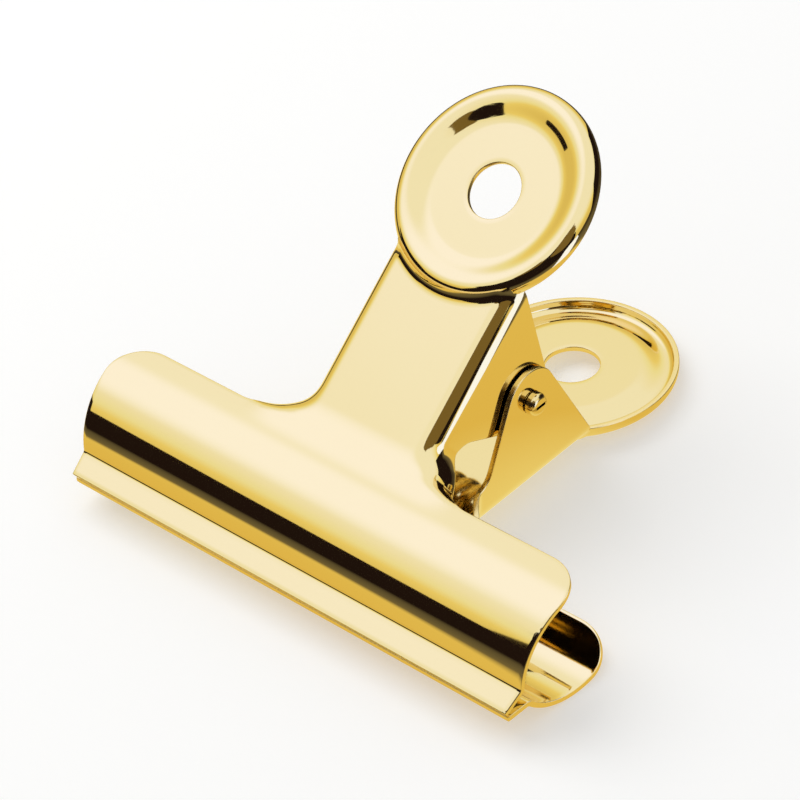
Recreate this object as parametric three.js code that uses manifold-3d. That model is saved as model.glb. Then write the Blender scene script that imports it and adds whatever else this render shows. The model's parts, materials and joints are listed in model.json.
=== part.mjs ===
// Sheet-metal paper clip: two stamped plates cross on a pivot pin, and a torsion spring on the pin
// spreads their handles apart, which presses the lips together.
//
// Each plate is drawn upright first: X along the jaw, Y from the middle plane out to the plate, and Z
// from the lips up to the finger disc. The finished clip lies on its rear plate with +Z up, and its
// origin is under the middle of the clip, on the surface that it lies on. Lengths are millimetres.

import * as THREE from 'three';
import { mergeVertices } from 'three/addons/utils/BufferGeometryUtils.js';
import Module from 'manifold-3d';

const deg = THREE.MathUtils.degToRad;

// Sheet steel that both plates are stamped from
const sheet = 0.5;

// Jaw: a flat lip, then a barrel-shaped swelling that gives the grip its spring. Its side edges run
// straight and apart, from the lip's width to the wings' width, and are 50 mm apart a third of the way up.
const lipWidth = 49.3;
const wingWidth = 51.6;
const lipGap = 0.2;
const lipHeight = 2.16;
const lipLean = deg(15);
const barrelRadius = 7;
const barrelCrown = 5.5;
const barrelReturn = deg(12);
const wingTop = 12.1;
const wingCorner = 4;
const wingFillet = 3;

// Neck and its two folded ears
const neckLean = deg(19.1);
const neckReach = 8.85;
const neckHalfWidth = 6.85;
const bendRadius = 1.7;
const earGap = 0.2;
const earTipRadius = 3;
const earTopSlope = deg(8);
const earLowerSlope = deg(46);
const earWaist = 2.75;
const earWaistRadius = 3.3;
const earFootRise = 0.5;
const earFootRadius = 1.5;

// Finger disc: a flat middle with a hanging hole, a raised bead and a short skirt
const discRise = 13.8;
const discRadius = 9.5;
const discHoleRadius = 2.5;
const discFlatRadius = 6.2;
const beadHeight = 1.1;
const beadRadius = 0.6;
const skirtDepth = 0.6;

// Pivot pin, with its ends staked so that it can't slide out
const pivotHeight = 25.4;
const pinRadius = 0.95;
const pinClearance = 0.1;
const pinProud = 1.25;
const stakeSwell = 0.15;
const stakeLength = 0.35;
const stakeSlotWidth = 0.35;
const stakeSlotDepth = 0.3;

// Torsion spring, wound on the pin, with one leg against the inside of each neck
const wireRadius = 0.55;
const coilRadius = 2.4;
const coilPitch = 1.6;
const coilFullTurns = 5;
const legReach = 5;
const legClearance = 0.15;

// Gold-coloured plating, brightest on the rolled sheet
const platingColour = 0xe3b94f;
const sheetRoughness = 0.12;
const pinRoughness = 0.2;
const wireRoughness = 0.25;

// Fineness of round shapes, and of the spring's own gap check
const arcStep = deg(9);
const discSides = 64;
const pinSides = 32;
const wireSides = 5;
const stepsPerCurl = 8;
const gapCheckPoints = 600;

// The neck's flat floor is this much thicker than the strip that runs into it, on each face, so that
// no two faces of one plate coincide where its regions are joined
const weldStep = 0.01;

// The rear plate is the wider one, so that its ears lie outside the front plate's ears
const frontHalfWidth = neckHalfWidth;
const rearHalfWidth = neckHalfWidth + sheet + earGap;

// The ears start just above the wings' fillets
const earFoot = wingTop + wingFillet + earFootRise;

// Far enough from the middle plane to clear every part of a plate
const clearOfPlate = 2 * neckReach + discRadius;

const X = new THREE.Vector3(1, 0, 0);
const Y = new THREE.Vector3(0, 1, 0);
const Z = new THREE.Vector3(0, 0, 1);

// The neck's outer face leans away from the middle plane: its normal, and the way up along it
const neckNormal = new THREE.Vector3(0, Math.cos(neckLean), -Math.sin(neckLean));
const neckUp = new THREE.Vector3(0, Math.sin(neckLean), Math.cos(neckLean));
const pivot = new THREE.Vector3(0, 0, pivotHeight);

// A point given by its distance out from the pivot towards the neck, and up along the neck
function fromPivot(out, up) {
  return pivot.clone().addScaledVector(neckNormal, out).addScaledVector(neckUp, up);
}

const wasm = await Module();
wasm.setup();

// Closed mesh to solid, and back
function solid(geometry) {
  const bare = geometry.clone();
  bare.deleteAttribute('normal');
  bare.deleteAttribute('uv');
  const merged = mergeVertices(bare);
  return new wasm.Manifold(new wasm.Mesh({
    numProp: 3,
    vertProperties: new Float32Array(merged.attributes.position.array),
    triVerts: new Uint32Array(merged.index.array),
  }));
}

function geometryOf(manifold) {
  const mesh = manifold.getMesh();
  const geometry = new THREE.BufferGeometry();
  geometry.setAttribute('position', new THREE.BufferAttribute(mesh.vertProperties, 3));
  geometry.setIndex(new THREE.BufferAttribute(mesh.triVerts, 1));
  geometry.computeVertexNormals();
  return geometry;
}

// Closed outline through corners [across, up, radius]: a corner with a radius becomes an arc
function roundedOutline(corners) {
  const points = [];
  corners.forEach(([across, up, radius], i) => {
    const corner = new THREE.Vector2(across, up);
    if (!radius) {
      points.push(corner);
      return;
    }
    const previous = corners.at(i - 1);
    const next = corners[(i + 1) % corners.length];
    const toPrevious = new THREE.Vector2(previous[0], previous[1]).sub(corner).normalize();
    const toNext = new THREE.Vector2(next[0], next[1]).sub(corner).normalize();
    const half = Math.acos(THREE.MathUtils.clamp(toPrevious.dot(toNext), -1, 1)) / 2;
    const middle = toPrevious.clone().add(toNext).normalize();
    const centre = corner.clone().addScaledVector(middle, radius / Math.sin(half));
    const start = corner.clone().addScaledVector(toPrevious, radius / Math.tan(half)).sub(centre);
    const turn = Math.PI - 2 * half;
    const sense = Math.sign(toNext.cross(toPrevious));
    const steps = Math.ceil(turn / arcStep);
    for (let k = 0; k <= steps; k++) {
      points.push(start.clone().rotateAround(new THREE.Vector2(), sense * turn * k / steps).add(centre));
    }
  });
  return points;
}

// Prism on an outline, with the outline's two directions and its first face's place given
function prism(points, across, up, from, length) {
  const geometry = new THREE.ExtrudeGeometry(new THREE.Shape(points), { depth: length, bevelEnabled: false });
  const along = across.clone().cross(up);
  geometry.applyMatrix4(new THREE.Matrix4().makeBasis(across, up, along).setPosition(from));
  return solid(geometry);
}

// Lip and barrel in side view, as (out from the middle plane, up from the lips). An angle is the
// sheet's lean from upright, so a point's outward normal is (cos, -sin) of it.
const outward = (lean) => new THREE.Vector2(Math.cos(lean), -Math.sin(lean));
const lipTip = new THREE.Vector2(lipGap / 2 + sheet, 0);
const crease = new THREE.Vector2(lipTip.x + lipHeight * Math.tan(lipLean), lipHeight);
const barrelStart = Math.acos((crease.x - barrelCrown + barrelRadius) / barrelRadius);
const barrelCentre = new THREE.Vector2(
  barrelCrown - barrelRadius, lipHeight + barrelRadius * Math.sin(barrelStart));

// Side profile of the sheet, outer face up and inner face back down: lip, barrel, return, neck.
// The return's radius is the one that runs smoothly from the barrel into the neck.
function sheetProfile() {
  const normal = outward(neckLean);
  const neckOffset = neckReach + normal.y * pivotHeight;
  const swing = Math.cos(barrelReturn + neckLean);
  const returnRadius = (barrelCentre.dot(normal) + barrelRadius * swing - neckOffset) / (1 - swing);
  const returnCentre = barrelCentre.clone()
    .addScaledVector(outward(-barrelReturn), barrelRadius + returnRadius);

  const points = [];
  const mitre = (barrelStart - lipLean) / 2;
  points.push([lipTip, outward(lipLean), 1]);
  points.push([crease, outward(lipLean + mitre), 1 / Math.cos(mitre)]);
  const barrelSteps = Math.ceil((barrelStart + barrelReturn) / arcStep);
  for (let k = 1; k <= barrelSteps; k++) {
    const lean = barrelStart - (barrelStart + barrelReturn) * k / barrelSteps;
    points.push([barrelCentre.clone().addScaledVector(outward(lean), barrelRadius), outward(lean), 1]);
  }
  const returnSteps = Math.ceil((barrelReturn + neckLean) / arcStep);
  for (let k = 1; k <= returnSteps; k++) {
    const lean = -barrelReturn + (barrelReturn + neckLean) * k / returnSteps;
    points.push([returnCentre.clone().addScaledVector(outward(lean), -returnRadius), outward(lean), 1]);
  }
  const end = fromPivot(neckReach, discRise);
  points.push([new THREE.Vector2(end.y, end.z), normal, 1]);

  const outer = points.map(([point]) => point);
  const inner = points.map(([point, out, stretch]) => point.clone().addScaledVector(out, -sheet * stretch));
  return [...outer, ...inner.reverse()];
}

// Front view of one plate: the jaw with its rounded wings, narrowing to the neck
function plateOutline(halfWidth) {
  const spreadPerHeight = (wingWidth - lipWidth) / 2 / wingTop;
  const top = fromPivot(neckReach, discRise).z + sheet;
  const right = [
    [lipWidth / 2 - sheet * spreadPerHeight, -sheet, 0],
    [wingWidth / 2, wingTop, wingCorner],
    [halfWidth, wingTop, wingFillet],
    [halfWidth, earFoot + sheet, 0],
    [halfWidth - bendRadius, earFoot + sheet, 0],
    [halfWidth - bendRadius, top, 0],
  ];
  const left = right.map(([across, up, radius]) => [-across, up, radius]).reverse();
  return roundedOutline([...right, ...left]);
}

// Across the neck: a channel whose flat floor is the neck and whose sides are the ears
function channelSection(halfWidth) {
  const depth = neckReach + 2 * earTipRadius;
  const inner = -sheet - weldStep;
  return roundedOutline([
    [-halfWidth, -depth, 0],
    [-halfWidth + sheet, -depth, 0],
    [-halfWidth + sheet, inner, bendRadius - sheet],
    [halfWidth - sheet, inner, bendRadius - sheet],
    [halfWidth - sheet, -depth, 0],
    [halfWidth, -depth, 0],
    [halfWidth, weldStep, bendRadius],
    [-halfWidth, weldStep, bendRadius],
  ]);
}

// Side view of an ear: a rounded tip around the pin between a nearly level upper edge and a sloping
// lower edge, which turns down to a waist and ends at the foot
function earOutline() {
  const upperAlong = new THREE.Vector2(Math.cos(earTopSlope), Math.sin(earTopSlope));
  const lowerAlong = new THREE.Vector2(Math.cos(earLowerSlope), -Math.sin(earLowerSlope));
  const halfAngle = (earTopSlope + earLowerSlope) / 2;
  const apexAim = (earTopSlope - earLowerSlope) / 2;
  const apex = new THREE.Vector2(-Math.cos(apexAim), -Math.sin(apexAim))
    .multiplyScalar(earTipRadius / Math.sin(halfAngle));
  apex.y += pivotHeight;
  const upperEnd = apex.clone().addScaledVector(upperAlong, clearOfPlate);
  const waist = apex.clone().addScaledVector(lowerAlong, (earWaist - apex.x) / lowerAlong.x);
  return roundedOutline([
    [waist.x, waist.y, earWaistRadius],
    [earWaist, earFoot, earFootRadius],
    [clearOfPlate, earFoot, 0],
    [upperEnd.x, upperEnd.y, 0],
    [apex.x, apex.y, earTipRadius],
  ]);
}

// Radial section of the finger disc: flat, a hollow curve up to the bead, over it and down the skirt.
// The hollow's radius is the one that runs smoothly into both the flat and the bead.
function discSection() {
  const beadCentre = new THREE.Vector2(discRadius - beadRadius, beadHeight - beadRadius);
  const run = beadCentre.x - discFlatRadius;
  const hollowRadius = (run * run + beadCentre.y ** 2 - beadRadius ** 2) / (2 * (beadCentre.y + beadRadius));
  const slope = Math.atan2(run, hollowRadius - beadCentre.y);
  const rows = [[new THREE.Vector2(discHoleRadius, 0), new THREE.Vector2(0, 1)]];
  const hollowSteps = Math.ceil(slope / arcStep);
  for (let k = 0; k <= hollowSteps; k++) {
    const lean = slope * k / hollowSteps;
    const out = new THREE.Vector2(-Math.sin(lean), Math.cos(lean));
    rows.push([new THREE.Vector2(discFlatRadius, hollowRadius).addScaledVector(out, -hollowRadius), out]);
  }
  const beadTurn = slope + Math.PI / 2;
  const beadSteps = Math.ceil(beadTurn / (2 * arcStep));
  for (let k = 1; k <= beadSteps; k++) {
    const lean = slope - beadTurn * k / beadSteps;
    const out = new THREE.Vector2(-Math.sin(lean), Math.cos(lean));
    rows.push([beadCentre.clone().addScaledVector(out, beadRadius), out]);
  }
  rows.push([new THREE.Vector2(discRadius, -skirtDepth), new THREE.Vector2(1, 0)]);
  const outer = rows.map(([point]) => point).reverse();
  const inner = rows.map(([point, out]) => point.clone().addScaledVector(out, -sheet));
  return [...outer, ...inner, outer[0]];
}

// Solid of revolution standing on the neck's outer face at the middle of the finger disc
function turnedOnDisc(points) {
  const geometry = new THREE.LatheGeometry(points, discSides);
  const seat = fromPivot(neckReach, discRise);
  geometry.applyMatrix4(new THREE.Matrix4().makeBasis(X, neckNormal, neckUp).setPosition(seat));
  return solid(geometry);
}

// Solid of revolution along the pin, with the profile's height measured from the middle of the clip
function turnedOnPin(points) {
  const geometry = new THREE.LatheGeometry(points, pinSides);
  geometry.applyMatrix4(new THREE.Matrix4().makeBasis(Z, X, Y).setPosition(pivot));
  return solid(geometry);
}

function cylinderProfile(radius, low, high) {
  return [[0, low], [radius, low], [radius, high], [0, high]].map((point) => new THREE.Vector2(...point));
}

// One stamped plate, drawn on the +Y side of the middle plane
function plate(halfWidth) {
  const half = Math.max(lipWidth, wingWidth) / 2;
  const strip = prism(sheetProfile(), Y, Z, X.clone().multiplyScalar(-half - sheet), 2 * (half + sheet));
  const blankStart = Y.clone().multiplyScalar(clearOfPlate);
  const blank = prism(plateOutline(halfWidth), X, Z, blankStart, 2 * clearOfPlate);
  const channelStart = fromPivot(neckReach, -pivotHeight);
  const channel = prism(channelSection(halfWidth), X, neckNormal, channelStart, pivotHeight + 2 * discRise);
  const earSide = prism(earOutline(), Y, Z, X.clone().multiplyScalar(-half), 2 * half);
  const underFloor = -sheet - 2 * weldStep;
  const discRoom = turnedOnDisc(cylinderProfile(discRadius - sheet / 2, underFloor, beadHeight + sheet));
  const disc = turnedOnDisc(discSection());
  const pinHole = turnedOnPin(cylinderProfile(pinRadius + pinClearance, -half, half));
  return strip.intersect(blank)
    .add(channel.intersect(earSide))
    .subtract(discRoom)
    .add(disc)
    .subtract(pinHole);
}

// Pin: a plain shaft whose two ends swell a little and are struck with a slot
function pivotPin() {
  const face = rearHalfWidth + earGap / 2;
  const end = rearHalfWidth + pinProud;
  const upperHalf = [
    [pinRadius, face],
    [pinRadius + stakeSwell, face + stakeLength],
    [pinRadius + stakeSwell, end - stakeLength],
    [pinRadius - stakeSwell, end],
    [0, end],
  ];
  const lowerHalf = upperHalf.map(([radius, along]) => [radius, -along]).reverse();
  const pin = turnedOnPin([...lowerHalf, ...upperHalf].map((point) => new THREE.Vector2(...point)));
  const slotLength = 4 * pinRadius;
  const slot = (side) => {
    const geometry = new THREE.BoxGeometry(2 * stakeSlotDepth, stakeSlotWidth, slotLength);
    geometry.rotateX(neckLean);
    geometry.translate(side * end, 0, pivotHeight);
    return solid(geometry);
  };
  return pin.subtract(slot(1)).subtract(slot(-1));
}

// Spring wire's middle line: front leg in, the coil round the pin, rear leg out. Squeezing the
// handles turns the legs towards each other, which winds the coil tighter.
function springPath() {
  const seat = fromPivot(neckReach - sheet - wireRadius - legClearance, legReach).sub(pivot);
  const reach = Math.hypot(seat.y, seat.z);
  const leave = Math.atan2(seat.z, seat.y) - Math.acos(coilRadius / reach);
  const turnStart = Math.PI - leave;
  const turnEnd = leave + 2 * Math.PI * (coilFullTurns + 1);
  const total = turnEnd - turnStart;
  const halfLength = coilPitch * total / (4 * Math.PI);
  const coilSteps = Math.ceil(total / (2 * Math.PI) * stepsPerCurl);
  const legLength = Math.sqrt(reach ** 2 - coilRadius ** 2);
  const legSteps = Math.ceil(legLength * stepsPerCurl / (2 * Math.PI * coilRadius));
  const points = [];
  for (let k = 0; k < legSteps; k++) {
    const from = new THREE.Vector3(-halfLength, -seat.y, seat.z);
    const to = new THREE.Vector3(-halfLength, coilRadius * Math.cos(turnStart), coilRadius * Math.sin(turnStart));
    points.push(from.lerp(to, k / legSteps));
  }
  for (let k = 0; k <= coilSteps; k++) {
    const angle = turnStart + total * k / coilSteps;
    const along = -halfLength + 2 * halfLength * k / coilSteps;
    points.push(new THREE.Vector3(along, coilRadius * Math.cos(angle), coilRadius * Math.sin(angle)));
  }
  for (let k = 1; k <= legSteps; k++) {
    const from = new THREE.Vector3(halfLength, coilRadius * Math.cos(turnEnd), coilRadius * Math.sin(turnEnd));
    points.push(from.lerp(new THREE.Vector3(halfLength, seat.y, seat.z), k / legSteps));
  }
  return points.map((point) => point.add(pivot));
}

function torsionSpring() {
  const points = springPath();
  const curve = new THREE.CatmullRomCurve3(points);
  const section = new THREE.Shape();
  for (let k = 0; k < wireSides; k++) {
    const angle = 2 * Math.PI * k / wireSides;
    const corner = [wireRadius * Math.cos(angle), wireRadius * Math.sin(angle)];
    if (k === 0) section.moveTo(...corner);
    else section.lineTo(...corner);
  }
  const geometry = new THREE.ExtrudeGeometry(section, { steps: points.length - 1, extrudePath: curve });
  return solid(geometry);
}

// Least gap between two turns of the spring's wire, on points at least half a turn apart
function springSelfGap() {
  const points = new THREE.CatmullRomCurve3(springPath()).getSpacedPoints(gapCheckPoints);
  const step = points[0].distanceTo(points[1]);
  const apart = Math.ceil(Math.PI * coilRadius / step);
  let least = Infinity;
  for (let i = 0; i < points.length; i++) {
    for (let j = i + apart; j < points.length; j++) {
      least = Math.min(least, points[i].distanceTo(points[j]));
    }
  }
  return least - 2 * wireRadius;
}

// A named piece with its plating
function piece(name, manifold, roughness) {
  const material = new THREE.MeshStandardMaterial({ color: platingColour, metalness: 1, roughness });
  const mesh = new THREE.Mesh(geometryOf(manifold), material);
  mesh.name = name;
  return mesh;
}

const frontPlate = piece('front_plate', plate(frontHalfWidth), sheetRoughness);
frontPlate.rotation.z = Math.PI;
const rearPlate = piece('rear_plate', plate(rearHalfWidth), sheetRoughness);
const pin = piece('pivot_pin', pivotPin(), pinRoughness);
const spring = piece('torsion_spring', torsionSpring(), wireRoughness);

// The clip lies on the rear barrel and on the top of the rear disc's bead, so both are equally low
function lyingTilt() {
  const bead = fromPivot(neckReach + beadHeight - beadRadius, discRise + discRadius - beadRadius);
  const acrossGap = bead.y - barrelCentre.x;
  const upGap = bead.z - barrelCentre.y;
  const needed = barrelRadius - beadRadius;
  return Math.acos(needed / Math.hypot(acrossGap, upGap)) - Math.atan2(upGap, acrossGap);
}

const clip = new THREE.Group();
clip.add(frontPlate, rearPlate, pin, spring);
clip.rotation.x = lyingTilt() - Math.PI / 2;
clip.updateMatrixWorld(true);
const reachBox = new THREE.Box3().setFromObject(clip, true);
const underMiddle = reachBox.getCenter(new THREE.Vector3()).setZ(reachBox.min.z);

const metalClip = new THREE.Group();
metalClip.add(clip);
clip.position.copy(underMiddle).negate();

console.log('least gap of the spring to itself, mm:', springSelfGap().toFixed(3));

export default metalClip;
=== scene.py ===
"""A gold-plated sheet-steel clip: two stamped plates crossed on a pin, with a torsion spring between.

Lengths are millimetres until a mesh, a lamp or the camera is placed, and MM turns them into metres.
"""
import json
import math

import bpy
import numpy as np
from mathutils import Euler, Matrix


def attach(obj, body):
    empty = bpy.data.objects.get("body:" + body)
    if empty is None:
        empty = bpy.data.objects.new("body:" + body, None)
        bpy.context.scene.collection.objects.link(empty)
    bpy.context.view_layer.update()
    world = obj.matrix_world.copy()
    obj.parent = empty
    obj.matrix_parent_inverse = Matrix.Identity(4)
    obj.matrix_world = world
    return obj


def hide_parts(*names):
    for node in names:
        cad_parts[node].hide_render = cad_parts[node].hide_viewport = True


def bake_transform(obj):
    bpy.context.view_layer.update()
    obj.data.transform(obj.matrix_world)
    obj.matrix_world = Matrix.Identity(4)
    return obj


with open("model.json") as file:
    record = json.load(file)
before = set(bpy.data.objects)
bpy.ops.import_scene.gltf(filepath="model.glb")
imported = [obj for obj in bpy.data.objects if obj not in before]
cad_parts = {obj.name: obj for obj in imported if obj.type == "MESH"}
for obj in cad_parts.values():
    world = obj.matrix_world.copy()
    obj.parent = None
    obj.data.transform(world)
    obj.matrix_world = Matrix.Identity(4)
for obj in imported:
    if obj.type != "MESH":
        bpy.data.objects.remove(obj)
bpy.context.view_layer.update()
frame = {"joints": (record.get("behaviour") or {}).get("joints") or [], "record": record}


# Camera: a long lens above the lips' right end, at the photograph's viewing angle.
# It aims a little to the left of the pivot and is rolled clockwise.
MM = 0.001
pivot = np.array(frame["joints"][0]["pos_m"]) / MM
view_azimuth = math.radians(-46.260)
view_elevation = math.radians(39.804)
view_roll = math.radians(7.090)
view_distance = 302.30
view_aim = pivot + (-3.048, -5.016, -1.519)
sensor_width = 36
focal_length = 159.97
nearest_seen = 10

scene = bpy.context.scene
camera_data = bpy.data.cameras.new("camera")
camera_data.sensor_width = sensor_width
camera_data.lens = focal_length
camera_data.clip_start = nearest_seen * MM
camera = bpy.data.objects.new("camera", camera_data)
scene.collection.objects.link(camera)
level = Euler((math.pi / 2 - view_elevation, 0, -view_azimuth)).to_matrix()
facing = level @ Matrix.Rotation(-view_roll, 3, "Z")
camera.matrix_world = facing.to_4x4()
camera.location = (view_aim + view_distance * np.array(facing.col[2])) * MM
scene.camera = camera


# Floor: a pale table under the clip, white to the camera, with the clip's shadow. Glossy rays see it
# painted instead: painted warm light near the clip, fading to painted shade further off. Each of those
# colours has its distance from the middle of the painted light, counted in its half sizes.
scene.view_settings.view_transform = "Standard"

floor_half = 1500
floor_colour = (0.68, 0.68, 0.67)
floor_roughness = 0.9
floor_glow = 0.38
painted_glow_middle = np.array([-20, -2])
painted_glow_half = np.array([62, 40])
painted_glow_rings = 3
painted_glow_colours = [
    (0.46, (0.95, 0.85, 0.43)),
    (0.62, (0.83, 0.62, 0.18)),
    (0.97, (0.85, 0.66, 0.21)),
    (1.12, (0.18, 0.15, 0.09)),
    (1.35, (0.14, 0.12, 0.08)),
    (2.8, (0.05, 0.04, 0.03))]


def new_material(name):
    """A material with its node tree and its Principled shader."""
    material = bpy.data.materials.new(name)
    material.use_nodes = True
    tree = material.node_tree
    return material, tree, tree.nodes["Principled BSDF"]


def add_node(tree, kind, **settings):
    """A node of a kind. Each setting is one of its properties or else the value of an input socket."""
    node = tree.nodes.new(kind)
    for name, value in settings.items():
        if hasattr(node, name):
            setattr(node, name, value)
        else:
            node.inputs[name].default_value = value
    return node


def colour_ramp(tree, factor, stops):
    """A colour ramp over a factor, from stops of place and colour."""
    ramp = tree.nodes.new("ShaderNodeValToRGB")
    elements = ramp.color_ramp.elements
    while len(elements) < len(stops):
        elements.new(1)
    for element, (place, colour) in zip(elements, stops):
        element.position = place
        element.color = (*colour, 1)
    tree.links.new(factor, ramp.inputs["Fac"])
    return ramp.outputs["Color"]


def mirrored_apart(tree, mirrored, otherwise, output):
    """Give the output one shader for glossy rays and another for all the rest, and return the Light Path."""
    light_path = add_node(tree, "ShaderNodeLightPath")
    mix = add_node(tree, "ShaderNodeMixShader")
    tree.links.new(light_path.outputs["Is Glossy Ray"], mix.inputs["Fac"])
    tree.links.new(otherwise, mix.inputs[1])
    tree.links.new(mirrored, mix.inputs[2])
    tree.links.new(mix.outputs["Shader"], tree.nodes[output].inputs["Surface"])
    return light_path


def put_mesh(name, points, faces, material):
    """A mesh object from points in millimetres and lists of faces."""
    mesh = bpy.data.meshes.new(name)
    faces = faces.tolist() if isinstance(faces, np.ndarray) else faces
    mesh.from_pydata((np.asarray(points) * MM).tolist(), [], faces)
    mesh.materials.append(material)
    obj = bpy.data.objects.new(name, mesh)
    scene.collection.objects.link(obj)
    return obj


floor_material, tree, shader = new_material("pale_table")
shader.inputs["Base Color"].default_value = (*floor_colour, 1)
shader.inputs["Roughness"].default_value = floor_roughness
shader.inputs["Emission Color"].default_value = (1, 1, 1, 1)

floor_place = add_node(tree, "ShaderNodeTexCoord")
rings = add_node(tree, "ShaderNodeMapping")
ring_size = painted_glow_half * painted_glow_rings * MM
rings.inputs["Scale"].default_value = (*(1 / ring_size), 0)
rings.inputs["Location"].default_value = (*(-painted_glow_middle * MM / ring_size), 0)
ring = add_node(tree, "ShaderNodeVectorMath", operation="LENGTH")
tree.links.new(floor_place.outputs["Object"], rings.inputs["Vector"])
tree.links.new(rings.outputs["Vector"], ring.inputs["Vector"])
# Painted light for the metal to mirror: a warm glow near the clip and painted shade further off, seen only by
# glossy rays.
painted_glow_ramp = colour_ramp(tree, ring.outputs["Value"], [
    (reach / painted_glow_rings, colour) for reach, colour in painted_glow_colours])
painted_table_glow = add_node(tree, "ShaderNodeEmission")
tree.links.new(painted_glow_ramp, painted_table_glow.inputs["Color"])
light_path = mirrored_apart(tree, painted_table_glow.outputs["Emission"], shader.outputs["BSDF"], "Material Output")
to_white = add_node(tree, "ShaderNodeMath", operation="MULTIPLY")
to_white.inputs[1].default_value = floor_glow
tree.links.new(light_path.outputs["Is Camera Ray"], to_white.inputs[0])
tree.links.new(to_white.outputs["Value"], shader.inputs["Emission Strength"])

floor_corners = np.array([(-1, -1, 0), (1, -1, 0), (1, 1, 0), (-1, 1, 0)]) * floor_half
put_mesh("floor", floor_corners, [(0, 1, 2, 3)], floor_material)


# Studio: plain white to the camera and the diffuse light. The metal alone sees a bluish white surround that
# grows warm towards its foot, a painted warm reflection, and a painted highlight, a soft overhead glow to the
# left.
# One large soft lamp stands where that glow is and throws the clip's shadow, but the metal doesn't mirror it.
surround_white = (1.0, 1.05, 1.25)
surround_colours = [
    (12, (0.80, 0.66, 0.26)),
    (22, (0.92, 0.80, 0.36)),
    (29, (0.95, 0.96, 0.77)),
    (38, (0.98, 1.00, 1.05)),
    (46, surround_white)]
overhead_painted_highlight = (1.12, 1.20, 1.85)
overhead_azimuth = math.radians(-85)
overhead_elevation = math.radians(57)
overhead_core = math.radians(10)
overhead_reach = math.radians(30)
brightest = 2.0
plain_level = 0.55
lamp_distance = 600
lamp_width = 500
lamp_power = 1.7


def towards(azimuth, elevation):
    """Direction at an azimuth, counted from the lips' side (-Y) to the right, and an elevation."""
    flat = np.cos(elevation)
    return np.stack([flat * np.sin(azimuth), -flat * np.cos(azimuth), np.sin(elevation)], -1)


def of_brightest(colour):
    """A colour as a share of the brightest level, because a ramp holds nothing above 1."""
    return tuple(part / brightest for part in colour)


world = bpy.data.worlds.new("studio")
scene.world = world
world.use_nodes = True
tree = world.node_tree

direction = add_node(tree, "ShaderNodeTexCoord")
rise = add_node(tree, "ShaderNodeSeparateXYZ")
tree.links.new(direction.outputs["Generated"], rise.inputs["Vector"])
# Painted surround for glossy rays only: bluish white above, warm towards the foot as a painted warm
# reflection.
surround = colour_ramp(tree, rise.outputs["Z"], [
    (math.sin(math.radians(elevation)), of_brightest(colour)) for elevation, colour in surround_colours])
nearness = add_node(tree, "ShaderNodeVectorMath", operation="DOT_PRODUCT")
tree.links.new(direction.outputs["Generated"], nearness.inputs[0])
nearness.inputs[1].default_value = towards(overhead_azimuth, overhead_elevation)
# Painted highlight: a soft glow round the overhead direction, seen only by glossy rays.
overhead_share = add_node(tree, "ShaderNodeMapRange", interpolation_type="SMOOTHSTEP")
overhead_share.inputs["From Min"].default_value = math.cos(overhead_reach)
overhead_share.inputs["From Max"].default_value = math.cos(overhead_core)
tree.links.new(nearness.outputs["Value"], overhead_share.inputs["Value"])
with_overhead = add_node(tree, "ShaderNodeMix", data_type="RGBA")
tree.links.new(overhead_share.outputs["Result"], with_overhead.inputs["Factor"])
tree.links.new(surround, with_overhead.inputs["A"])
with_overhead.inputs["B"].default_value = (*of_brightest(overhead_painted_highlight), 1)
mirrored = add_node(tree, "ShaderNodeBackground", Strength=brightest)
tree.links.new(with_overhead.outputs["Result"], mirrored.inputs["Color"])

plain = tree.nodes["Background"]
plain.inputs["Color"].default_value = (1, 1, 1, 1)
light_path = mirrored_apart(tree, mirrored.outputs["Background"], plain.outputs["Background"], "World Output")
plain_strength = add_node(tree, "ShaderNodeMapRange")
plain_strength.inputs["To Min"].default_value = plain_level
tree.links.new(light_path.outputs["Is Camera Ray"], plain_strength.inputs["Value"])
tree.links.new(plain_strength.outputs["Result"], plain.inputs["Strength"])

lamp_data = bpy.data.lights.new("overhead_softbox", "AREA")
lamp_data.size = lamp_width * MM
lamp_data.energy = lamp_power
lamp = bpy.data.objects.new("overhead_softbox", lamp_data)
scene.collection.objects.link(lamp)
lamp.location = (pivot + lamp_distance * towards(overhead_azimuth, overhead_elevation)) * MM
lamp.rotation_euler = Euler((math.pi / 2 - overhead_elevation, 0, overhead_azimuth))
lamp.visible_glossy = False


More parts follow.
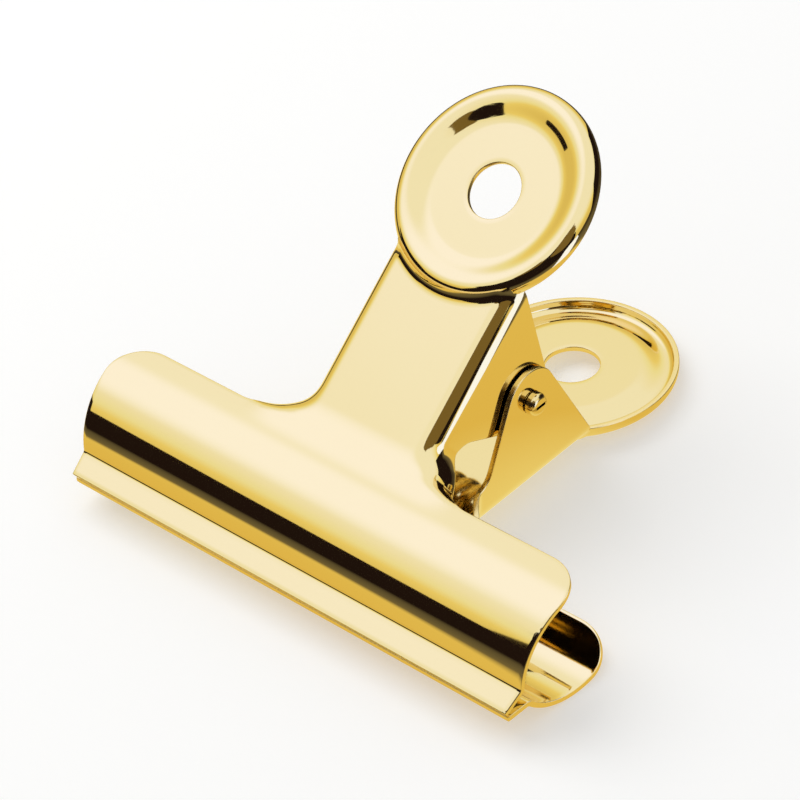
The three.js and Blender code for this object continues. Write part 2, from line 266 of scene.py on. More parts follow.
# Cards: painted reflections, curved upright strips round the table, seen only in the metal: black ones paint
# its dark bands, a dim one high in front a brown band, and a glowing white one at the right a painted
# highlight.
# Each has a distance, a colour, and a row of azimuths with the elevations of its lower and upper edge there.
# Colours of the painted reflections: black, dim brown, and a white that glows brighter than white.
painted_dark_reflection = (0.014, 0.008, 0.009)
painted_dim_reflection = (0.20, 0.14, 0.05)
painted_glow_reflection = (1.12, 1.30, 2.3)
to_table = -80
cards = {
    "front_painted_dark_card": (150, painted_dark_reflection, [
        (-68, to_table, 0), (-66, to_table, 17.5), (-56, to_table, 18.5), (-46, to_table, 20),
        (-44, to_table, 12.85), (-20, to_table, 12.85), (-19, to_table, 38.5), (-8, to_table, 40),
        (4, to_table, 41.5), (8, to_table, 43), (12, to_table, 46), (15, to_table, 46),
        (16, to_table, 50), (26, to_table, 50), (28, to_table, 45), (42, to_table, 38),
        (60, to_table, 30), (78, to_table, 28), (86, to_table, 14), (88, to_table, 0)]),
    "leaning_painted_dark_card": (145, painted_dark_reflection, [
        (-24, 33, 35), (-19, 27, 38.5)]),
    "back_painted_dark_card": (260, painted_dark_reflection, [
        (120, to_table, 0), (122, to_table, 36), (170, to_table, 34), (190, to_table, 0)]),
    "overhead_painted_dim_card": (110, painted_dim_reflection, [
        (-12, 42, 44), (-6, 41, 48), (0, 41, 50), (5, 41, 47), (16, 41, 47), (17, 50, 57), (26, 49, 58),
        (27, 42, 58), (42, 33, 58), (62, 22, 48), (73, 20, 38), (75, 22, 34)]),
    "right_painted_glow_card": (42, painted_glow_reflection, [
        (82, to_table, 17), (88, to_table, 20), (100, to_table, 18), (106, to_table, 10)])}
card_steps = 96

for name, (distance, colour, row) in cards.items():
    card_material, tree, shader = new_material(name)
    shader.inputs["Base Color"].default_value = (0, 0, 0, 1)
    shader.inputs["Specular IOR Level"].default_value = 0
    shader.inputs["Emission Color"].default_value = (*colour, 1)
    shader.inputs["Emission Strength"].default_value = 1
    bearings, lows, highs = np.radians(row).T
    bearing = np.linspace(bearings[0], bearings[-1], card_steps + 1)
    ground = pivot * (1, 1, 0) + distance * towards(bearing, np.zeros_like(bearing))
    low, high = (
        np.maximum(pivot[2] + distance * np.tan(np.interp(bearing, bearings, edge)), 0)[:, None] * (0, 0, 1)
        for edge in (lows, highs))
    step = np.arange(card_steps)
    strip = np.stack([step, step + 1, step + card_steps + 2, step + card_steps + 1], -1)
    card = put_mesh(name, np.concatenate([ground + low, ground + high]), strip, card_material)
    card.visible_camera = False
    card.visible_diffuse = False
    card.visible_shadow = False


# Front plate: spring steel 0.5 mm thick, blanked, then pressed into a lip, a barrel, a neck with two
# folded ears and a dished finger disc with a rolled rim, and plated. It stands for the CAD plate of its name.
sheet = 0.5
edge_round = 0.08
lip_half = 24.65
lip_gap = 0.2
lip_height = 2.16
lip_lean = math.radians(15)
crease_radius = 0.35
barrel_radius = 7
barrel_crown = 5.5
barrel_return = math.radians(12)
wing_half = 25.8
wing_top = 12.1
wing_corner = 4
wing_fillet = 3
wing_start = 1
wing_ease = 4
neck_lean = math.radians(19.1)
neck_reach = 8.85
neck_half = 6.85
bend_radius = 1.7
fold_fillets = 1.3
least_fold = 1e-6
ear_gap = 0.2
ear_tip_radius = 3
ear_half_angle = math.radians(27)
ear_waist = 2.4
ear_waist_radius = 2.5
ear_side_share = 0.35
notch_offset = -0.3
disc_rise = 13.8
disc_radius = 9.5
disc_hole = 2.5
disc_flat = 5.9
dish_slope = math.radians(23.2)
rim_radius = 1.1
skirt_depth = 0.75
fairing_width = 0.7
fairing_height = 0.3
fairing_limit = 1.4
pivot_height = 25.4
pin_radius = 0.95
pin_clearance = 0.1

# The clip lies on the rear plate: the record's mount on the rear neck gives its tilt, the hinge its place
rear_neck_axis = next(m["axis"] for m in frame["record"]["mounts"] if m["name"] == "rear_neck")
tilt = neck_lean + math.atan2(rear_neck_axis[1], -rear_neck_axis[2])


def lay_down(points, side):
    """Points of an upright plate, laid down with the clip: side 1 is the rear plate and -1 the front plate,
    which is the same stamping turned half round the upright axis."""
    x, out, up = side * points[..., 0], side * points[..., 1], points[..., 2] - pivot_height
    back = out * math.sin(tilt) + up * math.cos(tilt)
    high = -out * math.cos(tilt) + up * math.sin(tilt)
    return np.stack([x, back, high], -1) + pivot


profile_step = 0.005


def side_profile():
    """The sheet's outer face in side view, walked from the lip's tip in small steps: at each step the
    lean from upright grows by step / radius on a hollow arc and shrinks by it on a crowned one."""
    tip = np.array([lip_gap / 2 + sheet, 0])
    crease_out = tip[0] + lip_height * math.tan(lip_lean)
    start_lean = math.acos((crease_out - barrel_crown + barrel_radius) / barrel_radius)
    centre = np.array([barrel_crown - barrel_radius, lip_height + barrel_radius * math.sin(start_lean)])
    along = np.array([math.sin(lip_lean), math.cos(lip_lean)])
    outward = np.array([math.cos(lip_lean), -math.sin(lip_lean)])
    from_centre = tip + crease_radius * outward - centre
    half_b = from_centre @ along
    lip = -half_b - math.sqrt(half_b ** 2 - from_centre @ from_centre + (barrel_radius + crease_radius) ** 2)
    bend = from_centre + lip * along
    barrel_lean = math.atan2(-bend[1], bend[0])

    normal = np.array([math.cos(neck_lean), -math.sin(neck_lean)])
    swing = math.cos(barrel_return + neck_lean)
    offset = neck_reach + normal[1] * pivot_height
    return_radius = (centre @ normal + barrel_radius * swing - offset) / (1 - swing)

    lengths = [lip, crease_radius * (barrel_lean - lip_lean), barrel_radius * (barrel_lean + barrel_return),
               return_radius * (barrel_return + neck_lean), 2 * pivot_height]
    length = np.arange(0, sum(lengths), profile_step)
    stops = np.cumsum([0] + lengths)
    leans = [lip_lean, lip_lean, barrel_lean, -barrel_return, neck_lean, neck_lean]
    lean = np.interp(length, stops, leans)
    middle = (lean[1:] + lean[:-1]) / 2
    out = tip[0] + np.concatenate([[0], np.cumsum(np.sin(middle))]) * profile_step
    up = tip[1] + np.concatenate([[0], np.cumsum(np.cos(middle))]) * profile_step
    return length, out, up, lean, stops


profile_length, profile_out, profile_up, profile_lean, profile_stops = side_profile()


def length_at(up):
    """Length along the sheet from the lip's tip to a height."""
    return np.interp(up, profile_up, profile_length)


length_at_foot = length_at(pivot_height - neck_reach * math.sin(neck_lean))
fold_start = length_at(wing_top)
fold_end = length_at(wing_top + fold_fillets * wing_fillet)


def smooth(share):
    """A share that leaves 0 and reaches 1 gently: three times its square less twice its cube."""
    return share * share * (3 - 2 * share)


def fold_share(length):
    """How much of the right-angled fold there is: next to none on the jaw, and smoothly all of it above the
    notch."""
    return np.maximum(smooth(np.clip((length - fold_start) / (fold_end - fold_start), 0, 1)), least_fold)


def fold_section(across, length, flat_half):
    """Cross-section of the folded blank: half width, depth inward and turned angle at a distance across.
    Beyond the flat floor the sheet runs round an arc and then straight on."""
    share = fold_share(length)
    beyond = np.maximum(np.abs(across) - flat_half, 0) / bend_radius
    turned = np.minimum(beyond, math.pi / 2) * share
    straight = np.maximum(beyond - math.pi / 2, 0) * bend_radius
    radius = bend_radius / share
    x = np.minimum(np.abs(across), flat_half) + radius * np.sin(turned) + straight * np.cos(turned)
    inward = radius * (1 - np.cos(turned)) + straight * np.sin(turned)
    return np.sign(across) * x, inward, turned


def folded(blank, flat_half):
    """Place of each point of the flat blank once it is folded, and how far a fairing lifts the outer face
    there, where the neck runs up to the disc: the lift grows with the square of the way into the fairing.
    Above the barrel the neck follows the profile, while the wings run straight on with the lean they have."""
    across, length = blank[:, 0], blank[:, 1]
    out = np.interp(length, profile_length, profile_out)
    up = np.interp(length, profile_length, profile_up)
    lean = np.interp(length, profile_length, profile_lean)
    barrel_end = profile_stops[3]
    above = np.maximum(length - barrel_end, 0)
    end_out = np.interp(barrel_end, profile_length, profile_out)
    end_up = np.interp(barrel_end, profile_length, profile_up)
    wing = smooth(np.clip((np.abs(across) - neck_half - wing_start) / wing_ease, 0, 1))
    wing = np.where(above > 0, wing * (1 - fold_share(length)), 0)
    out += wing * (end_out - above * math.sin(barrel_return) - out)
    up += wing * (end_up + above * math.cos(barrel_return) - up)
    lean += wing * (-barrel_return - lean)
    x, inward, turned = fold_section(across, length, flat_half)
    from_disc = np.hypot(x, length - length_at_foot - disc_rise) - disc_radius
    near = np.clip(1 - from_disc / fairing_width, 0, fairing_limit)
    lift = fairing_height * near ** 2 * np.cos(turned) ** 2
    return np.stack([x, out - inward * np.cos(lean), up + inward * np.sin(lean)], -1), lift


def arc(centre, radius, start, end, count):
    """Points on a circle from one angle to another."""
    angle = np.linspace(start, end, count + 1)
    return np.stack([centre[0] + radius * np.cos(angle), centre[1] + radius * np.sin(angle)], -1)


def spread(start, end, count):
    """Evenly spaced points from one place to another."""
    return np.linspace(np.asarray(start, float), np.asarray(end, float), count + 1)


def joined(*runs):
    """Runs of points laid end to end, each starting where the one before it ends."""
    return np.concatenate([runs[0]] + [run[1:] for run in runs[1:]])


def four_sided(bottom, top, left, right):
    """Grid between four edges: the blend of the edges across, plus the blend along, less the bilinear
    blend of the corners (a Coons patch)."""
    u = np.linspace(0, 1, len(bottom))[None, :, None]
    v = np.linspace(0, 1, len(left))[:, None, None]
    across = (1 - u) * left[:, None] + u * right[:, None]
    along = (1 - v) * bottom[None] + v * top[None]
    corners = (1 - v) * ((1 - u) * bottom[0] + u * bottom[-1]) + v * ((1 - u) * top[0] + u * top[-1])
    return across + along - corners


outline_arc_steps = 24


def rounded(corners):
    """Open outline through corners (across, along, radius): each inner corner becomes an arc."""
    corners = np.array(corners, float)
    runs = [corners[:1, :2]]
    for before, corner, after in zip(corners, corners[1:], corners[2:]):
        to_before = (before - corner)[:2] / np.hypot(*(before - corner)[:2])
        to_after = (after - corner)[:2] / np.hypot(*(after - corner)[:2])
        half = math.acos(np.clip(to_before @ to_after, -1, 1)) / 2
        middle = (to_before + to_after) / np.hypot(*(to_before + to_after))
        centre = corner[:2] + middle * corner[2] / math.sin(half)
        start = corner[:2] + to_before * corner[2] / math.tan(half) - centre
        turn = (math.pi - 2 * half) * np.sign(to_after[0] * to_before[1] - to_after[1] * to_before[0])
        angle = turn * np.linspace(0, 1, outline_arc_steps + 1)
        cos, sin = np.cos(angle), np.sin(angle)
        runs.append(centre + np.stack([start[0] * cos - start[1] * sin, start[0] * sin + start[1] * cos], -1))
    return np.concatenate(runs + [corners[-1:, :2]])


def vertex_normals(points, faces):
    """Normal of each vertex: the sum of its quads' diagonals' cross products, made one long."""
    cross = np.cross(points[faces[:, 2]] - points[faces[:, 0]], points[faces[:, 3]] - points[faces[:, 1]])
    normal = np.zeros_like(points)
    for corner in range(4):
        np.add.at(normal, faces[:, corner], cross)
    return normal / np.linalg.norm(normal, axis=1)[:, None]


merge_distance = 1e-4


def merged(grids):
    """One mesh of several grids, whose faces look to the side from which their columns run to the left
    and their rows up. Points that grids share become one."""
    starts = np.cumsum([0] + [grid.shape[0] * grid.shape[1] for grid in grids])
    faces = []
    for start, grid in zip(starts, grids):
        index = start + np.arange(grid.shape[0] * grid.shape[1]).reshape(grid.shape[:2])
        quads = np.stack([index[:-1, :-1], index[1:, :-1], index[1:, 1:], index[:-1, 1:]], -1)
        faces.append(quads.reshape(-1, 4))
    points = np.concatenate([grid.reshape(-1, grid.shape[-1]) for grid in grids])
    cell = np.round(points / merge_distance).astype(np.int64)
    _, first, number = np.unique(cell, axis=0, return_index=True, return_inverse=True)
    return points[first], number.reshape(-1)[np.concatenate(faces)]


edge_steps = 3


def sheet_metal(points, faces, lift=0.0):
    """Closed sheet from the grid of its outer face: a copy one thickness inside, and a rim with rounded
    corners. A rim ring's point is the edge point moved outward in the sheet's plane and down along its
    normal, on a quarter circle at each corner."""
    count = len(points)
    normal = vertex_normals(points, faces)
    start = faces.reshape(-1)
    end = np.roll(faces, -1, 1).reshape(-1)
    free = ~np.isin(start * count + end, end * count + start)
    start, end = start[free], end[free]
    run = np.zeros_like(points)
    direction = points[end] - points[start]
    direction /= np.linalg.norm(direction, axis=1)[:, None]
    np.add.at(run, start, direction)
    np.add.at(run, end, direction)
    edge, number = np.unique(np.concatenate([start, end]), return_inverse=True)
    run = run[edge] / np.linalg.norm(run[edge], axis=1)[:, None]
    outward = np.cross(run, normal[edge])
    quarter = np.linspace(0, math.pi / 2, edge_steps + 1)[1:]
    low = 1 - np.cos(quarter)
    depth = np.concatenate([edge_round * low, [sheet - edge_round], sheet - edge_round * low[-2::-1]])
    reach = np.concatenate([edge_round * np.sin(quarter), [edge_round], edge_round * np.sin(quarter[-2::-1])])
    rings = points[edge] + reach[:, None, None] * outward - depth[:, None, None] * normal[edge]
    ring_index = 2 * count + np.arange(len(reach) * len(edge)).reshape(len(reach), len(edge))
    index = np.concatenate([edge[None], ring_index, count + edge[None]])
    first, second = number[:len(start)], number[len(start):]
    rim = np.stack([index[:-1, first], index[1:, first], index[1:, second], index[:-1, second]], -1)
    rim = rim.reshape(-1, 4)
    outer = points + np.reshape(lift, (-1, 1)) * normal
    everything = np.concatenate([outer, points - sheet * normal, rings.reshape(-1, 3)])
    is_rim = np.repeat([0, 1], [2 * len(faces), len(rim)])
    return everything, np.concatenate([faces, count + faces[:, ::-1], rim]), is_rim


shelf_height = 6
shelf_length = length_at(shelf_height)
jaw_core = 11.5
jaw_rows = (5, 8, 26)
wing_edge_steps = 16
wing_side_steps = 10
wing_corner_steps = 12
fillet_share = 0.42
floor_steps = 10
bend_steps = 18
fan_steps = 30
neck_rows = 90
top_edge_depth = 0.05
top_edge_run = 0.3


def plate_body(half_width):
    """The plate below its disc: right-hand grids over the flat blank, mirrored, folded and thickened.
    The jaw's wings are four-sided blocks. The neck's columns keep to the floor and the bend and then
    fan out to the ear's free edge."""
    flat_half = half_width - bend_radius
    bend_end = flat_half + bend_radius * math.pi / 2
    top = length_at(wing_top) - edge_round
    half = wing_half - edge_round
    corner = wing_corner - edge_round
    apex = bend_end + neck_reach - bend_radius + ear_tip_radius / math.sin(ear_half_angle) - edge_round
    slope = math.tan(ear_half_angle)
    waist = bend_end + ear_waist - edge_round

    free_edge = rounded([
        (half, top, 0),
        (bend_end + notch_offset - edge_round, top, wing_fillet + edge_round),
        (waist, length_at_foot - (apex - waist) * slope, ear_waist_radius),
        (apex, length_at_foot, ear_tip_radius - edge_round),
        (bend_end, length_at_foot + (apex - bend_end) * slope, 0)])
    split = 1 + round(outline_arc_steps * fillet_share)
    wing_edge, ear_edge = free_edge[1:split + 1][::-1], free_edge[split:]
    junction = free_edge[split]

    # Neck and ear: rows from the wings' fillets up to the disc and the ear's upper edge
    floor_across = np.linspace(0, flat_half, floor_steps + 1)
    bend_across = flat_half + bend_radius * np.linspace(0, math.pi / 2, bend_steps + 1)[1:]
    fan = np.linspace(0, 1, fan_steps + 1)[1:]
    rows = np.linspace(0, 1, neck_rows + 1)[:, None]
    fixed = np.concatenate([floor_across, bend_across])
    fixed_x, fixed_in, _ = fold_section(fixed, fold_end, flat_half)
    seat = disc_radius - sheet / 2
    at_disc = length_at_foot + disc_rise - np.sqrt(seat ** 2 - fixed_x ** 2)
    at_ear = length_at_foot + (apex - bend_end + bend_radius - fixed_in) * slope
    to_ear = np.clip((fixed_in - top_edge_depth) / top_edge_run, 0, 1)
    fixed_top = at_disc + (at_ear - at_disc) * to_ear
    side_top = length_at_foot + ear_side_share * (apex - bend_end) * slope
    side_length = junction[1] + (side_top - junction[1]) * rows
    side_reach = np.interp(side_length, ear_edge[:, 1], ear_edge[:, 0])
    fan_across = bend_end + (side_reach - bend_end) * fan
    fan_top = length_at_foot + (apex - fan_across[-1]) * slope
    tops = np.concatenate([fixed_top, fan_top])
    across = np.concatenate([np.broadcast_to(fixed, (len(rows), len(fixed))), fan_across], 1)
    along = junction[1] + (tops - junction[1]) * rows
    neck = np.stack([across, along], -1)

    # Jaw: rows from the lip's tip to the wings' top edge, with the wings' rounded corners
    seam = neck[0]
    stops = np.concatenate([[edge_round], profile_stops[1:3], [shelf_length]])
    shelf_core = spread((0, shelf_length), (jaw_core, shelf_length), len(seam) - 1)
    wing_columns = joined(
        wing_edge,
        spread(wing_edge[-1], (half - corner, top), wing_edge_steps),
        arc((half - corner, top - corner), corner, math.pi / 2, math.pi / 4, wing_corner_steps))
    wing_side = joined(
        spread((half, shelf_length), (half, top - corner), wing_side_steps),
        arc((half - corner, top - corner), corner, 0, math.pi / 4, wing_corner_steps))
    shelf_wing = spread((jaw_core, shelf_length), (half, shelf_length), len(wing_columns) - 1)
    core_side = spread((jaw_core, shelf_length), junction, len(wing_side) - 1)
    middle = spread((0, shelf_length), seam[0], len(wing_side) - 1)
    core_block = four_sided(shelf_core, seam, middle, core_side)
    wing_block = four_sided(shelf_wing, wing_columns, core_side, wing_side)
    columns = joined(shelf_core, shelf_wing)[:, 0]
    lengths = np.concatenate([[edge_round]] + [
        np.linspace(low, high, count + 1)[1:] for low, high, count in zip(stops, stops[1:], jaw_rows)])
    jaw = np.stack(np.broadcast_arrays(columns[None], lengths[:, None]), -1)

    right = [jaw, core_block, wing_block, neck]
    left = [grid[:, ::-1] * (-1, 1) for grid in right]
    blank, faces = merged(right + left)

    # The jaw's sides spread from the lips to the wings: each column is drawn in, the outermost most
    below_wing = 1 - np.clip(np.interp(blank[:, 1], profile_length, profile_up) / wing_top, 0, 1)
    outermost = np.clip((np.abs(blank[:, 0]) - jaw_core) / (half - jaw_core), 0, 1)
    blank[:, 0] -= np.sign(blank[:, 0]) * (wing_half - lip_half) * below_wing * outermost
    points, lift = folded(blank, flat_half)
    return sheet_metal(points, faces, lift)


flat_steps = 8
wall_steps = 40
rim_steps = 20
skirt_steps = 6
disc_sides = 180


def finger_disc():
    """The disc turned round its middle: a flat with a hole, a dished wall, a rolled rim and a short skirt.
    The wall's slope grows and shrinks as a half sine from the flat to the crest, so both ends are smooth.
    Each point is radius and height above the neck's outer face."""
    crest = disc_radius - rim_radius
    wall_radius = np.linspace(disc_flat, crest, wall_steps + 1)
    wall_slope = np.tan(dish_slope * np.sin(math.pi * (wall_radius - disc_flat) / (crest - disc_flat)))
    rises = (wall_slope[1:] + wall_slope[:-1]) / 2 * np.diff(wall_radius)
    wall_height = np.concatenate([[0], np.cumsum(rises)])
    rim_middle = (crest, wall_height[-1] - rim_radius)
    section = joined(
        spread((disc_hole + edge_round, 0), (disc_flat, 0), flat_steps),
        np.stack([wall_radius, wall_height], -1),
        arc(rim_middle, rim_radius, math.pi / 2, 0, rim_steps),
        spread((disc_radius, rim_middle[1]), (disc_radius, edge_round - skirt_depth), skirt_steps))
    angle = -np.linspace(0, 2 * math.pi, disc_sides + 1)
    radius, height = section[:, None, 0], section[:, None, 1]
    x = radius * np.cos(angle)
    along = disc_rise + radius * np.sin(angle)
    out = neck_reach + height
    y = out * math.cos(neck_lean) + along * math.sin(neck_lean)
    z = pivot_height - out * math.sin(neck_lean) + along * math.cos(neck_lean)
    points, faces = merged([np.stack([x, y, z], -1)])
    return sheet_metal(points, faces)


bore_sides = 64


def pin_bore():
    """A round bar along the pin's axis, longer than the clip is wide, that cuts the ears' holes."""
    angle = 2 * math.pi * np.arange(bore_sides) / bore_sides
    radius = pin_radius + pin_clearance
    ring = np.stack([0 * angle, radius * np.cos(angle), pivot_height + radius * np.sin(angle)], -1)
    points = np.concatenate([ring - (wing_half, 0, 0), ring + (wing_half, 0, 0)])
    near = np.arange(bore_sides)
    after = np.roll(near, -1)
    walls = np.stack([near, after, after + bore_sides, near + bore_sides], -1).tolist()
    ends = [near[::-1].tolist(), (near + bore_sides).tolist()]
    return points, walls + ends, [1] * (bore_sides + len(ends))


def combined(obj, other, operation):
    """The mesh of one object joined with, or cut by, another, which is then removed."""
    modifier = obj.modifiers.new(operation, "BOOLEAN")
    modifier.operation = operation
    modifier.solver = "MANIFOLD"
    modifier.object = other
    result = bpy.data.meshes.new_from_object(obj.evaluated_get(bpy.context.evaluated_depsgraph_get()))
    obj.modifiers.clear()
    obj.data = result
    bpy.data.objects.remove(other)


sharpest_smooth = math.radians(38)


def smooth_shaded(obj):
    """Smooth shading with sharp creases, and normals that favour the large faces beside a rounded edge."""
    obj.data.shade_smooth()
    obj.data.set_sharp_from_angle(angle=sharpest_smooth)
    weighted = obj.modifiers.new("weighted_normals", "WEIGHTED_NORMAL")
    weighted.keep_sharp = True


patch_scale = 150
patch_detail = 2
haze_detail = 3
wave_scale = 120
wave_detail = 1
wave_height = 0.006


def plating_group():
    """Bright plating over pressed steel, worked out on Object coordinates: a colour that deepens a little in
    broad patches, a fine haze in the gloss, and the slight waves that a press leaves in thin sheet."""
    group = bpy.data.node_groups.new("bright_plating", "ShaderNodeTree")
    for name, kind, value in (
            ("Color", "NodeSocketColor", (1, 1, 1, 1)), ("Deepening", "NodeSocketFloat", 0.05),
            ("Roughness", "NodeSocketFloat", 0.05), ("Haze", "NodeSocketFloat", 0.04),
            ("Haze Scale", "NodeSocketFloat", 900), ("Wave", "NodeSocketFloat", 1)):
        group.interface.new_socket(name, in_out="INPUT", socket_type=kind).default_value = value
    for name, kind in (
            ("Color", "NodeSocketColor"), ("Roughness", "NodeSocketFloat"), ("Normal", "NodeSocketVector")):
        group.interface.new_socket(name, in_out="OUTPUT", socket_type=kind)
    given = group.nodes.new("NodeGroupInput")
    result = group.nodes.new("NodeGroupOutput")
    on_piece = group.nodes.new("ShaderNodeTexCoord")

    def noise(detail):
        """Soft noise through the piece's own space."""
        texture = add_node(group, "ShaderNodeTexNoise", Detail=detail)
        group.links.new(on_piece.outputs["Object"], texture.inputs["Vector"])
        return texture

    patches = noise(patch_detail)
    patches.inputs["Scale"].default_value = patch_scale
    share = add_node(group, "ShaderNodeMath", operation="MULTIPLY")
    group.links.new(patches.outputs["Fac"], share.inputs[0])
    group.links.new(given.outputs["Deepening"], share.inputs[1])
    deeper = add_node(group, "ShaderNodeMix", data_type="RGBA", blend_type="MULTIPLY")
    group.links.new(share.outputs["Value"], deeper.inputs["Factor"])
    group.links.new(given.outputs["Color"], deeper.inputs["A"])
    group.links.new(given.outputs["Color"], deeper.inputs["B"])
    group.links.new(deeper.outputs["Result"], result.inputs["Color"])

    fine = noise(haze_detail)
    group.links.new(given.outputs["Haze Scale"], fine.inputs["Scale"])
    hazy = add_node(group, "ShaderNodeMath", operation="MULTIPLY_ADD")
    group.links.new(fine.outputs["Fac"], hazy.inputs[0])
    group.links.new(given.outputs["Haze"], hazy.inputs[1])
    group.links.new(given.outputs["Roughness"], hazy.inputs[2])
    group.links.new(hazy.outputs["Value"], result.inputs["Roughness"])

    waves = noise(wave_detail)
    waves.inputs["Scale"].default_value = wave_scale
    height = add_node(group, "ShaderNodeMath", operation="MULTIPLY")
    group.links.new(waves.outputs["Fac"], height.inputs[0])
    group.links.new(given.outputs["Wave"], height.inputs[1])
    bump = add_node(group, "ShaderNodeBump", Distance=wave_height * MM)
    group.links.new(height.outputs["Value"], bump.inputs["Height"])
    group.links.new(bump.outputs["Normal"], result.inputs["Normal"])
    return group


bright_plating = plating_group()


def plated_metal(name, colour, **finish):
    """A metal with the bright plating at its own colour and finish."""
    material, tree, shader = new_material(name)
    shader.inputs["Metallic"].default_value = 1
    plating = add_node(tree, "ShaderNodeGroup")
    plating.node_tree = bright_plating
    plating.inputs["Color"].default_value = (*colour, 1)
    for socket, value in finish.items():
        plating.inputs[socket.replace("_", " ")].default_value = value
    tree.links.new(plating.outputs["Color"], shader.inputs["Base Color"])
    tree.links.new(plating.outputs["Roughness"], shader.inputs["Roughness"])
    tree.links.new(plating.outputs["Normal"], shader.inputs["Normal"])
    return material


sheet_gold = plated_metal("gold_plated_sheet", (0.88, 0.72, 0.34), Roughness=0.035, Haze=0.04)
edge_gold = plated_metal(
    "gold_plated_cut_edge", (0.90, 0.72, 0.32), Roughness=0.16, Haze=0.16, Haze_Scale=2600)


def stamped_plate(name, half_width, side):
    """One whole plate, laid down with the clip. Its rims and bores are cut edges."""
    parts = []
    for points, faces, rim in (plate_body(half_width), finger_disc(), pin_bore()):
        part = put_mesh(name, lay_down(points, side), faces, sheet_gold)
        part.data.materials.append(edge_gold)
        part.data.polygons.foreach_set("material_index", rim)
        parts.append(part)
    plate, disc, bore = parts
    combined(plate, disc, "UNION")
    combined(plate, bore, "DIFFERENCE")
    smooth_shaded(plate)
    return plate


front_plate = stamped_plate("front_plate_sheet", neck_half, -1)
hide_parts("front_plate")
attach(front_plate, "front")


# Rear plate: the same stamping turned half round, a little wider at the neck, so that its ears lie
# outside the front plate's ears. It stands for the CAD plate of its name.
rear_neck_half = neck_half + sheet + ear_gap

rear_plate = stamped_plate("rear_plate_sheet", rear_neck_half, 1)
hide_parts("rear_plate")
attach(rear_plate, "rear")


# Pivot pin: a drawn steel rod, plated. Once it is through all four ears its ends are staked, which
# swells them a little, leaves a chisel's groove across each and keeps the pin from sliding out.
pin_proud = 1.0
stake_swell = 0.1
stake_start = 0.1
stake_full = 0.13
end_round = 0.5
end_steps = 12
groove_width = 0.3
groove_depth = 0.2
pin_sides = 48
pin_end = rear_neck_half + pin_proud
staked_radius = pin_radius + stake_swell


def turned_rod(sections):
    """A rod turned round the pin's axis, from (along, radius) sections, closed by a point at each end."""
    along, radius = np.array(sections).T
    angle = 2 * math.pi * np.arange(pin_sides) / pin_sides
    rings = np.stack(np.broadcast_arrays(
        along[:, None], radius[:, None] * np.cos(angle), pivot_height + radius[:, None] * np.sin(angle)), -1)
    ends = np.array([(along[0], 0, pivot_height), (along[-1], 0, pivot_height)])
    index = np.arange(len(along) * pin_sides).reshape(-1, pin_sides)
    after = np.roll(index, -1, 1)
    walls = np.stack([index[:-1], after[:-1], after[1:], index[1:]], -1).reshape(-1, 4)
    first = np.stack([after[0], index[0], np.full(pin_sides, index.size)], -1)
    last = np.stack([index[-1], after[-1], np.full(pin_sides, index.size + 1)], -1)
    return np.concatenate([rings.reshape(-1, 3), ends]), walls.tolist() + first.tolist() + last.tolist()


def chisel(side):
    """A V-shaped bar across one end of the pin, leaning with the neck: the groove that the chisel leaves."""
    v_across = groove_width / 2 * np.array([-1, 0, 1, 0])
    v_depth = groove_depth * np.array([0, -1, 0, 1])
    length = 2 * pin_radius * np.array([[-1], [1]])
    x = side * (pin_end + v_depth)
    y = v_across * math.cos(neck_lean) + length * math.sin(neck_lean)
    z = pivot_height - v_across * math.sin(neck_lean) + length * math.cos(neck_lean)
    points = np.stack(np.broadcast_arrays(x, y, z), -1).reshape(-1, 3)
    near = np.arange(len(v_across))
    far = near + len(v_across)
    walls = np.stack([near, np.roll(near, -1), np.roll(far, -1), far], -1)[:, ::side]
    ends = [near[::-side].tolist(), far[::side].tolist()]
    return points, walls.tolist() + ends


head = np.concatenate([
    [(rear_neck_half + stake_start, pin_radius), (rear_neck_half + stake_full, staked_radius)],
    arc((pin_end - end_round, staked_radius - end_round), end_round, math.pi / 2, 0, end_steps),
    [(pin_end, (staked_radius - end_round) / 2)]])
pin_points, pin_faces = turned_rod(np.concatenate([head[::-1] * (-1, 1), head]))
pin_gold = plated_metal("gold_plated_pin", (0.86, 0.69, 0.30), Roughness=0.1, Haze=0.12, Wave=2)
pin = put_mesh("pivot_pin_staked", lay_down(pin_points, 1), pin_faces, pin_gold)
for side in (-1, 1):
    groove_points, groove_faces = chisel(side)
    groove = put_mesh("groove", lay_down(groove_points, 1), groove_faces, pin_gold)
    combined(pin, groove, "DIFFERENCE")
smooth_shaded(pin)
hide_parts("pivot_pin")
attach(pin, "rear")


# Torsion spring: hard-drawn wire wound on the pin between the necks, with one leg against the inside of
# each. It holds the jaw shut, and winds tighter as the handles are squeezed.
wire_radius = 0.55
coil_radius = 2.4
coil_pitch = 1.6
full_turns = 5
leg_reach = 5
leg_clearance = 0.15
leg_steps = 24
spring_steps = 420
wire_sides = 16
cap_start = 0.12
cap_steps = 4
cap_flatness = 0.3


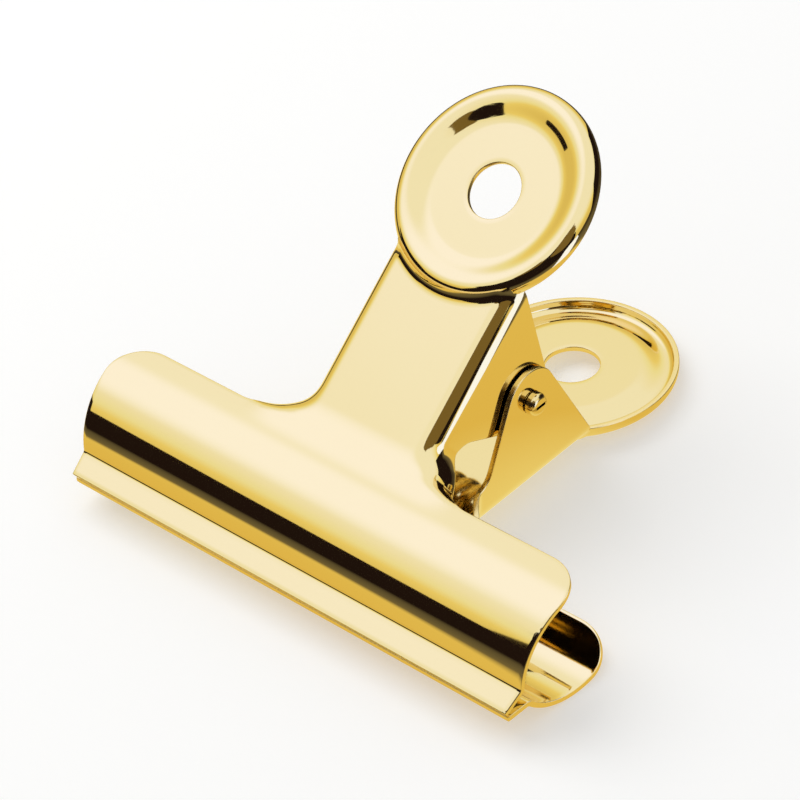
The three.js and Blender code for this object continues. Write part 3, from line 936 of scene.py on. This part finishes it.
def spring_middle_line():
    """The wire's middle line, front leg in, round the coil and rear leg out: a leg runs straight from its
    seat on the neck to where it touches the coil's circle, and the coil's angle grows evenly along X."""
    neck_out = neck_reach - sheet - wire_radius - leg_clearance
    seat_out = neck_out * math.cos(neck_lean) + leg_reach * math.sin(neck_lean)
    seat_up = -neck_out * math.sin(neck_lean) + leg_reach * math.cos(neck_lean)
    reach = math.hypot(seat_out, seat_up)
    leave = math.atan2(seat_up, seat_out) - math.acos(coil_radius / reach)
    turn_start = math.pi - leave
    turn_end = leave + 2 * math.pi * (full_turns + 1)
    half_length = coil_pitch * (turn_end - turn_start) / (4 * math.pi)
    angle = np.linspace(turn_start, turn_end, spring_steps)
    coil = np.stack([np.linspace(-half_length, half_length, spring_steps),
                     coil_radius * np.cos(angle), coil_radius * np.sin(angle)], -1)
    front = spread((-half_length, -seat_out, seat_up), coil[0], leg_steps)
    rear = spread(coil[-1], (half_length, seat_out, seat_up), leg_steps)
    return joined(front, coil, rear) + (0, 0, pivot_height), half_length


def round_wire(line):
    """The wire round its middle line: rings stand square to the line, whose side direction is the pin's axis
    made square to it. Beyond each end more rings follow a flattened quarter circle, each as wide as the
    sine of its angle and pushed out by the cosine."""
    along = np.gradient(line, axis=0)
    along /= np.linalg.norm(along, axis=1)[:, None]
    side = np.array([1.0, 0, 0]) - along[:, :1] * along
    side /= np.linalg.norm(side, axis=1)[:, None]
    up = np.cross(along, side)
    cap = np.linspace(cap_start, math.pi / 2, cap_steps + 1)[:-1]
    cap_width, cap_push = np.sin(cap), cap_flatness * np.cos(cap)
    width = wire_radius * np.concatenate([cap_width, np.ones(len(line)), cap_width[::-1]])
    push = wire_radius * np.concatenate([-cap_push, np.zeros(len(line)), cap_push[::-1]])
    pick = np.pad(np.arange(len(line)), cap_steps, "edge")
    centre = line[pick] + push[:, None] * along[pick]
    angle = 2 * math.pi * np.arange(wire_sides) / wire_sides
    rings = centre[:, None] + width[:, None, None] * (
        np.cos(angle)[:, None] * side[pick][:, None] + np.sin(angle)[:, None] * up[pick][:, None])
    index = np.arange(len(pick) * wire_sides).reshape(-1, wire_sides)
    after = np.roll(index, -1, 1)
    walls = np.stack([index[:-1], after[:-1], after[1:], index[1:]], -1).reshape(-1, 4)
    return rings.reshape(-1, 3), walls.tolist() + [index[0, ::-1].tolist(), index[-1].tolist()]


line, coil_half = spring_middle_line()
wire_points, wire_faces = round_wire(line)
wire_gold = plated_metal(
    "gold_plated_wire", (0.84, 0.67, 0.32), Roughness=0.14, Haze=0.16, Haze_Scale=1800, Wave=3)
spring = put_mesh("wound_spring", lay_down(wire_points, 1), wire_faces, wire_gold)
smooth_shaded(spring)
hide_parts("torsion_spring")
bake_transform(spring)
